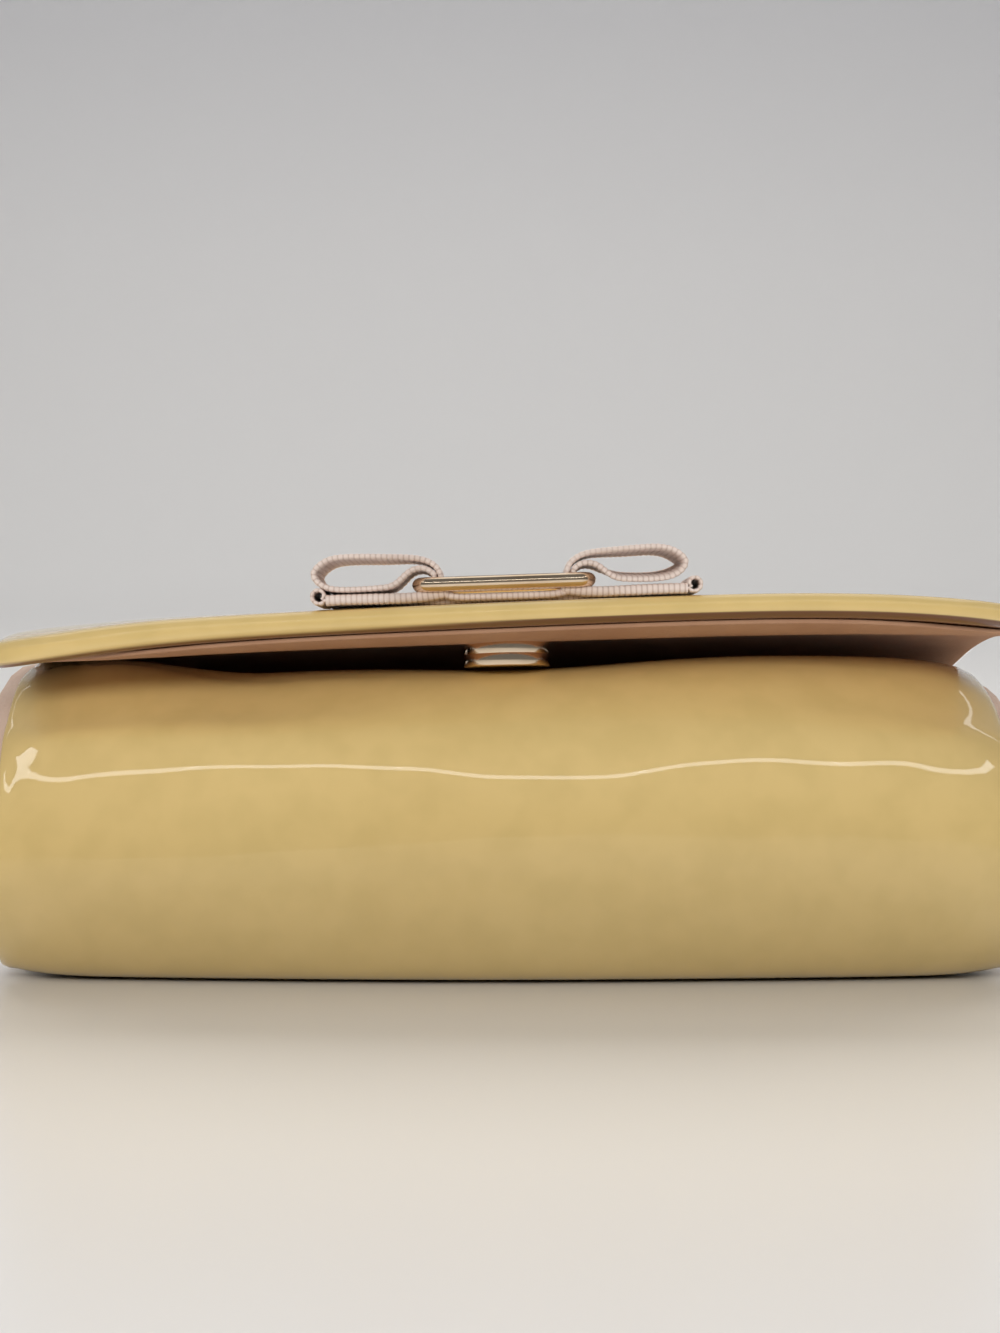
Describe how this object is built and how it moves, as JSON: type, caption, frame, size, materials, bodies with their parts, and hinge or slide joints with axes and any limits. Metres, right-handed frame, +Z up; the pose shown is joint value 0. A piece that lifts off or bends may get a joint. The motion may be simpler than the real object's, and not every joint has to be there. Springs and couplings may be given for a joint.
{
  "type": "chain shoulder bag",
  "caption": "Small flap shoulder bag of patent leather lying on its back, snapped shut, with a ribbon bow, folded gussets and a long metal chain.",
  "frame": {"origin": "middle of the back panel's flat outer face, which lies on the table", "axes": "+X across the bag, +Y from the bottom towards the mouth, +Z up from the back panel to the flap"},
  "size_m": [0.2022, 0.3502, 0.0812],
  "materials": {
    "patent_leather": "glossy patent",
    "pale_leather": "smooth satin",
    "ribbon": "ribbed grosgrain",
    "gold_metal": "polished gold plate"
  },
  "bodies": {
    "root": {"body_shell": "patent_leather", "flap": "patent_leather", "flap_lining": "pale_leather", "gusset_left": "pale_leather", "gusset_right": "pale_leather", "snap_socket": "gold_metal", "snap_stud": "gold_metal", "bow_tail_left": "ribbon", "bow_tail_right": "ribbon", "bow_loop_left": "ribbon", "bow_loop_right": "ribbon", "bow_band": "ribbon", "bow_buckle": "gold_metal", "tab_left": "patent_leather", "tab_right": "patent_leather", "ring_left": "gold_metal", "ring_right": "gold_metal", "chain": "gold_metal"}
  },
  "joints": []
}
